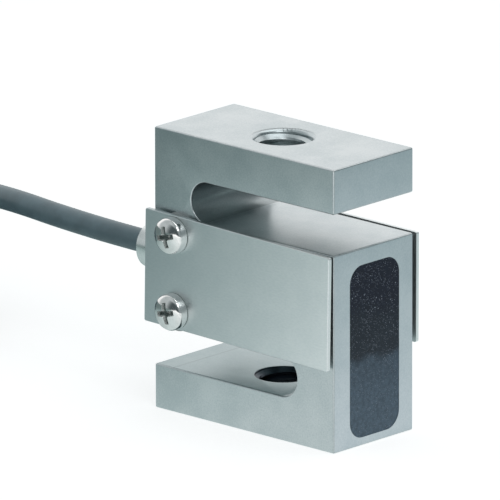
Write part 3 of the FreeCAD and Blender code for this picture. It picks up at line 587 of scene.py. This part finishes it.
# The route's points: how far from where the gland meets the block, how far back, and how high
CABLE_ROUTE = [
    (0.0044, 0, 0.0307),
    (-0.0186, 0, 0.0307),
    (-0.0406, 0.0020, 0.0307),
    (-0.0546, 0.0041, 0.0308),
    (-0.0691, 0.0081, 0.02935),
]
HANK_LEAD_IN = [
    (-0.0811, 0.0160, 0.0285),
    (-0.0926, 0.0200, 0.0262),
    (-0.1046, 0.0200, 0.0239),
    (-0.1151, 0.0200, 0.0234),
]
HANK_LEAD_OUT = [(-0.1151, 0.0085, 0.0034), (-0.1251, 0.0068, 0.0034)]

HANK_DISTANCE = 0.0676
HANK_LAYERS = 5
HANK_RUN = 0.042
HANK_OUTER_RADIUS = 0.0225
FOLD_STEPS = 8
FOLD_STEP = math.pi / FOLD_STEPS

# A quadratic spline runs inside the circle of its control points, at this share of its radius
FOLD_SHARE = 0.75 + 0.25 * math.cos(FOLD_STEP)


def from_gland(points):
    return [Vector((FACE_X + x, y, z)) for x, y, z in points]


def half_circle(x, side, first, last):
    """Control points of a fold round x, on the far side (-1) or the near side (1) of the runs.

    It goes from one place across and height, (y, z), to another, with one radius all the way.
    """
    reach = abs(last[0] - first[0]) / 2 / FOLD_SHARE
    middle = (first[0] + last[0]) / 2
    points = []
    for step in range(FOLD_STEPS):
        share = (step + 0.5) / FOLD_STEPS
        ease = share * share * (3 - 2 * share)
        along = side * reach * math.sin(math.pi * share)
        across = middle - side * reach * math.cos(math.pi * share)
        points.append(Vector((x + along, across, first[1] + (last[1] - first[1]) * ease)))
    return points


def run_ends(x_from, x_to, place, radii):
    """A run's two end points, as far from each fold as the fold's first point is into it."""
    towards = 1 if x_to > x_from else -1
    before, after = (radius * math.tan(FOLD_STEP / 2) for radius in radii)
    ends = (x_from + towards * before, x_to - towards * after)
    return [Vector((x, *place)) for x in ends]


def hank_turns():
    """Points of the folded length: each turn is two runs and two folds.

    The columns of turns are a diameter apart, and the last turn ends inside them.
    """
    near = FACE_X - HANK_DISTANCE - HANK_OUTER_RADIUS
    far = near - HANK_RUN
    outer = HANK_OUTER_RADIUS - CABLE_DIAMETER / 2
    columns = [outer, outer - CABLE_DIAMETER]
    places = []
    for layer in reversed(range(HANK_LAYERS)):
        height = TIE_THICKNESS + CABLE_DIAMETER * (layer + 0.5)
        places += [(radius, height) for radius in columns]
        columns.reverse()
    places.append((places[-1][0] - CABLE_DIAMETER, places[-1][1]))
    points, fold = [], places[0][0]
    for ahead, following in zip(places, places[1:]):
        radius, height = ahead
        back = (-radius, height)
        near_fold = (radius + following[0]) / 2
        points += run_ends(near, far, ahead, (fold, radius))
        points += half_circle(far, -1, ahead, back)
        points += run_ends(far, near, back, (radius, near_fold))
        points += half_circle(near, 1, back, following)
        fold = near_fold
    points.append(run_ends(near, far, places[-1], (fold, fold))[0])
    return points[1:]


def add_cable():
    """The whole cable, from inside the gland to the stripped end, as one smooth tube."""
    points = from_gland(CABLE_ROUTE + HANK_LEAD_IN) + hank_turns() + from_gland(HANK_LEAD_OUT)
    curve = bpy.data.curves.new("cable", "CURVE")
    curve.dimensions = "3D"
    curve.bevel_depth = CABLE_DIAMETER / 2
    curve.bevel_resolution = 6
    curve.use_fill_caps = True
    spline = curve.splines.new("NURBS")
    spline.points.add(len(points) - 1)
    for target, point in zip(spline.points, points):
        target.co = (*point, 1)
    spline.order_u = 3
    spline.use_endpoint_u = True
    spline.resolution_u = 8
    cable = add_object("cable", curve)
    curve.materials.append(JACKET)
    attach(cable, "root")
    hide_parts("cable_tube", "cable_hank")
    on_cable = ["front_hank_tie", "rear_hank_tie", "cable_end_boot", "drain_wire"]
    on_cable += [f"{colour}_lead" for colour in LEAD_COLOURS]


# Floor and light

FLOOR_RADIUS = 6.0
FLOOR_GREY = 0.755
FLOOR_RISE_FROM_LEFT = 4.0
FLOOR_RISE_TO_BACK = -1.0
FLOOR_LIFT = 0.10
FLOOR_LIFT_ENDS = (95 * MM, 45 * MM)
FLOOR_LIFT_STARTS = (24 * MM, 30 * MM)
FLOOR_BRIGHTEST = 1.4
FLOOR_MIRRORED = (
    (0.2, (0.15, 0.20, 0.20)),
    (0.4, (0.31, 0.40, 0.40)),
    (0.7, (0.62, 0.70, 0.70)),
    (0.85, (0.80, 0.85, 0.85)),
    (FLOOR_BRIGHTEST, (FLOOR_BRIGHTEST,) * 3),
)


def mirrored_floor(material):
    """The floor as reflections show it: painted light, a glowing grey that darkens to the left and
    to the back, and is a little lighter close on the right. It is divided by its brightest, which
    the strength gives."""
    x, y = material.along("X"), material.along("Y")
    left = material.maths("MULTIPLY", material.maths("MINIMUM", x, 0.0), FLOOR_RISE_FROM_LEFT)
    shade = material.maths("ADD", left, FLOOR_GREY)
    shade = material.maths("ADD", shade, material.maths("MULTIPLY", y, FLOOR_RISE_TO_BACK))
    close = material.spread(material.step(x, *FLOOR_LIFT_ENDS), 0.0, FLOOR_LIFT)
    at_right = material.step(x, *FLOOR_LIFT_STARTS)
    shade = material.maths("ADD", shade, material.maths("MULTIPLY", close, at_right))
    shade = material.maths("DIVIDE", shade, FLOOR_BRIGHTEST)
    stops = [
        (place / FLOOR_BRIGHTEST, tuple(channel / FLOOR_BRIGHTEST for channel in tone))
        for place, tone in FLOOR_MIRRORED
    ]
    return material.emission(material.ramp(shade, *stops), FLOOR_BRIGHTEST)


def add_floor():
    """A pale floor that the camera sees as white with a faint shadow, and reflections as a painted
    grey glow.
    """
    material = Material("floor", Roughness=0.6)
    shades = material.noise(0.15, 1.0)
    material.set(material.shader, "Base Color", material.ramp(shades, (0.3, 0.78), (0.7, 0.80)))
    shadow_taker = material.add("ShaderNodeBsdfDiffuse")
    material.set(shadow_taker, "Color", (0.60, 0.60, 0.60))
    shown = material.add("ShaderNodeAddShader")
    material.link(shadow_taker, shown, 0)
    material.link(material.emission((1.0, 1.0, 1.0), 0.70), shown, 1)
    seen, reflected = material.rays()
    unseen = material.choose(reflected, material.shader, mirrored_floor(material))
    final = material.choose(seen, unseen, shown)
    material.link(final, material.tree.nodes["Material Output"], "Surface")
    mesh = bmesh.new()
    bmesh.ops.create_circle(mesh, cap_ends=True, radius=FLOOR_RADIUS, segments=96)
    floor = add_mesh("floor", mesh)
    floor.data.materials.append(material.data)


def add_world():
    """A white backdrop for the camera and for reflections behind the object. The rest is a dim
    room, which is lighter at the left, darker at the back right and darkest in front."""
    world = bpy.data.worlds.new("world")
    world.use_nodes = True
    bpy.context.scene.world = world
    sky = NodeTree(world.node_tree)
    heading = sky.add("ShaderNodeTexCoord").outputs["Generated"]

    def towards(direction, low, high):
        """1 in a direction and 0 away from it, with a soft edge from low to high."""
        dot = sky.add("ShaderNodeVectorMath", operation="DOT_PRODUCT")
        sky.set(dot, 0, heading)
        sky.set(dot, 1, direction)
        return sky.step(dot.outputs["Value"], low, high)

    behind = towards((-0.68, 0.73, 0.0), 0.22, 0.50)
    in_front = towards((0.10, -0.99, 0.0), 0.70, 0.92)
    overhead = towards((0.0, 0.0, 1.0), 0.45, 0.75)
    at_left = towards((-0.85, -0.45, 0.25), 0.15, 0.70)
    at_back = towards((0.66, 0.70, 0.26), 0.55, 0.85)
    dark = sky.maths("MULTIPLY", in_front, sky.maths("SUBTRACT", 1.0, overhead))
    tone = sky.mix(at_left, (0.27, 0.31, 0.32), (0.46, 0.50, 0.51))
    tone = sky.mix(at_back, tone, (0.13, 0.16, 0.17))
    tone = sky.mix(dark, tone, (0.07, 0.09, 0.095))
    room = sky.tree.nodes["Background"]
    sky.set(room, "Color", tone)
    white = sky.add("ShaderNodeBackground")
    sky.set(white, "Color", (1.0, 1.0, 1.0))
    seen, reflected = sky.rays()
    backdrop = sky.maths("MAXIMUM", seen, sky.maths("MULTIPLY", reflected, behind))
    sky.link(sky.choose(backdrop, room, white), sky.tree.nodes["World Output"], "Surface")


LAMP_TARGET = Vector((0, 0, 0.03))


def add_softbox(name, place, side, radiance):
    """A square lamp turned to the object, which looks as bright as radiance says."""
    data = bpy.data.lights.new(name, "AREA")
    data.shape = "RECTANGLE"
    data.size = data.size_y = side
    data.energy = radiance * math.pi * side * side
    lamp = add_object(name, data)
    lamp.location = place
    lamp.rotation_mode = "QUATERNION"
    lamp.rotation_quaternion = (LAMP_TARGET - Vector(place)).to_track_quat("-Z", "Y")
    lamp.visible_camera = False


def add_lights():
    add_softbox("top_softbox", (0.25, 0.35, 1.3), 1.0, 1.2)
    add_softbox("right_softbox", (0.80, -0.50, 1.00), 0.6, 2.2)


add_camera()
JACKET = jacket_pvc()
finish_nodes()
add_threads()
add_cable()
add_floor()
add_world()
add_lights()
bpy.context.scene.view_settings.view_transform = "Standard"
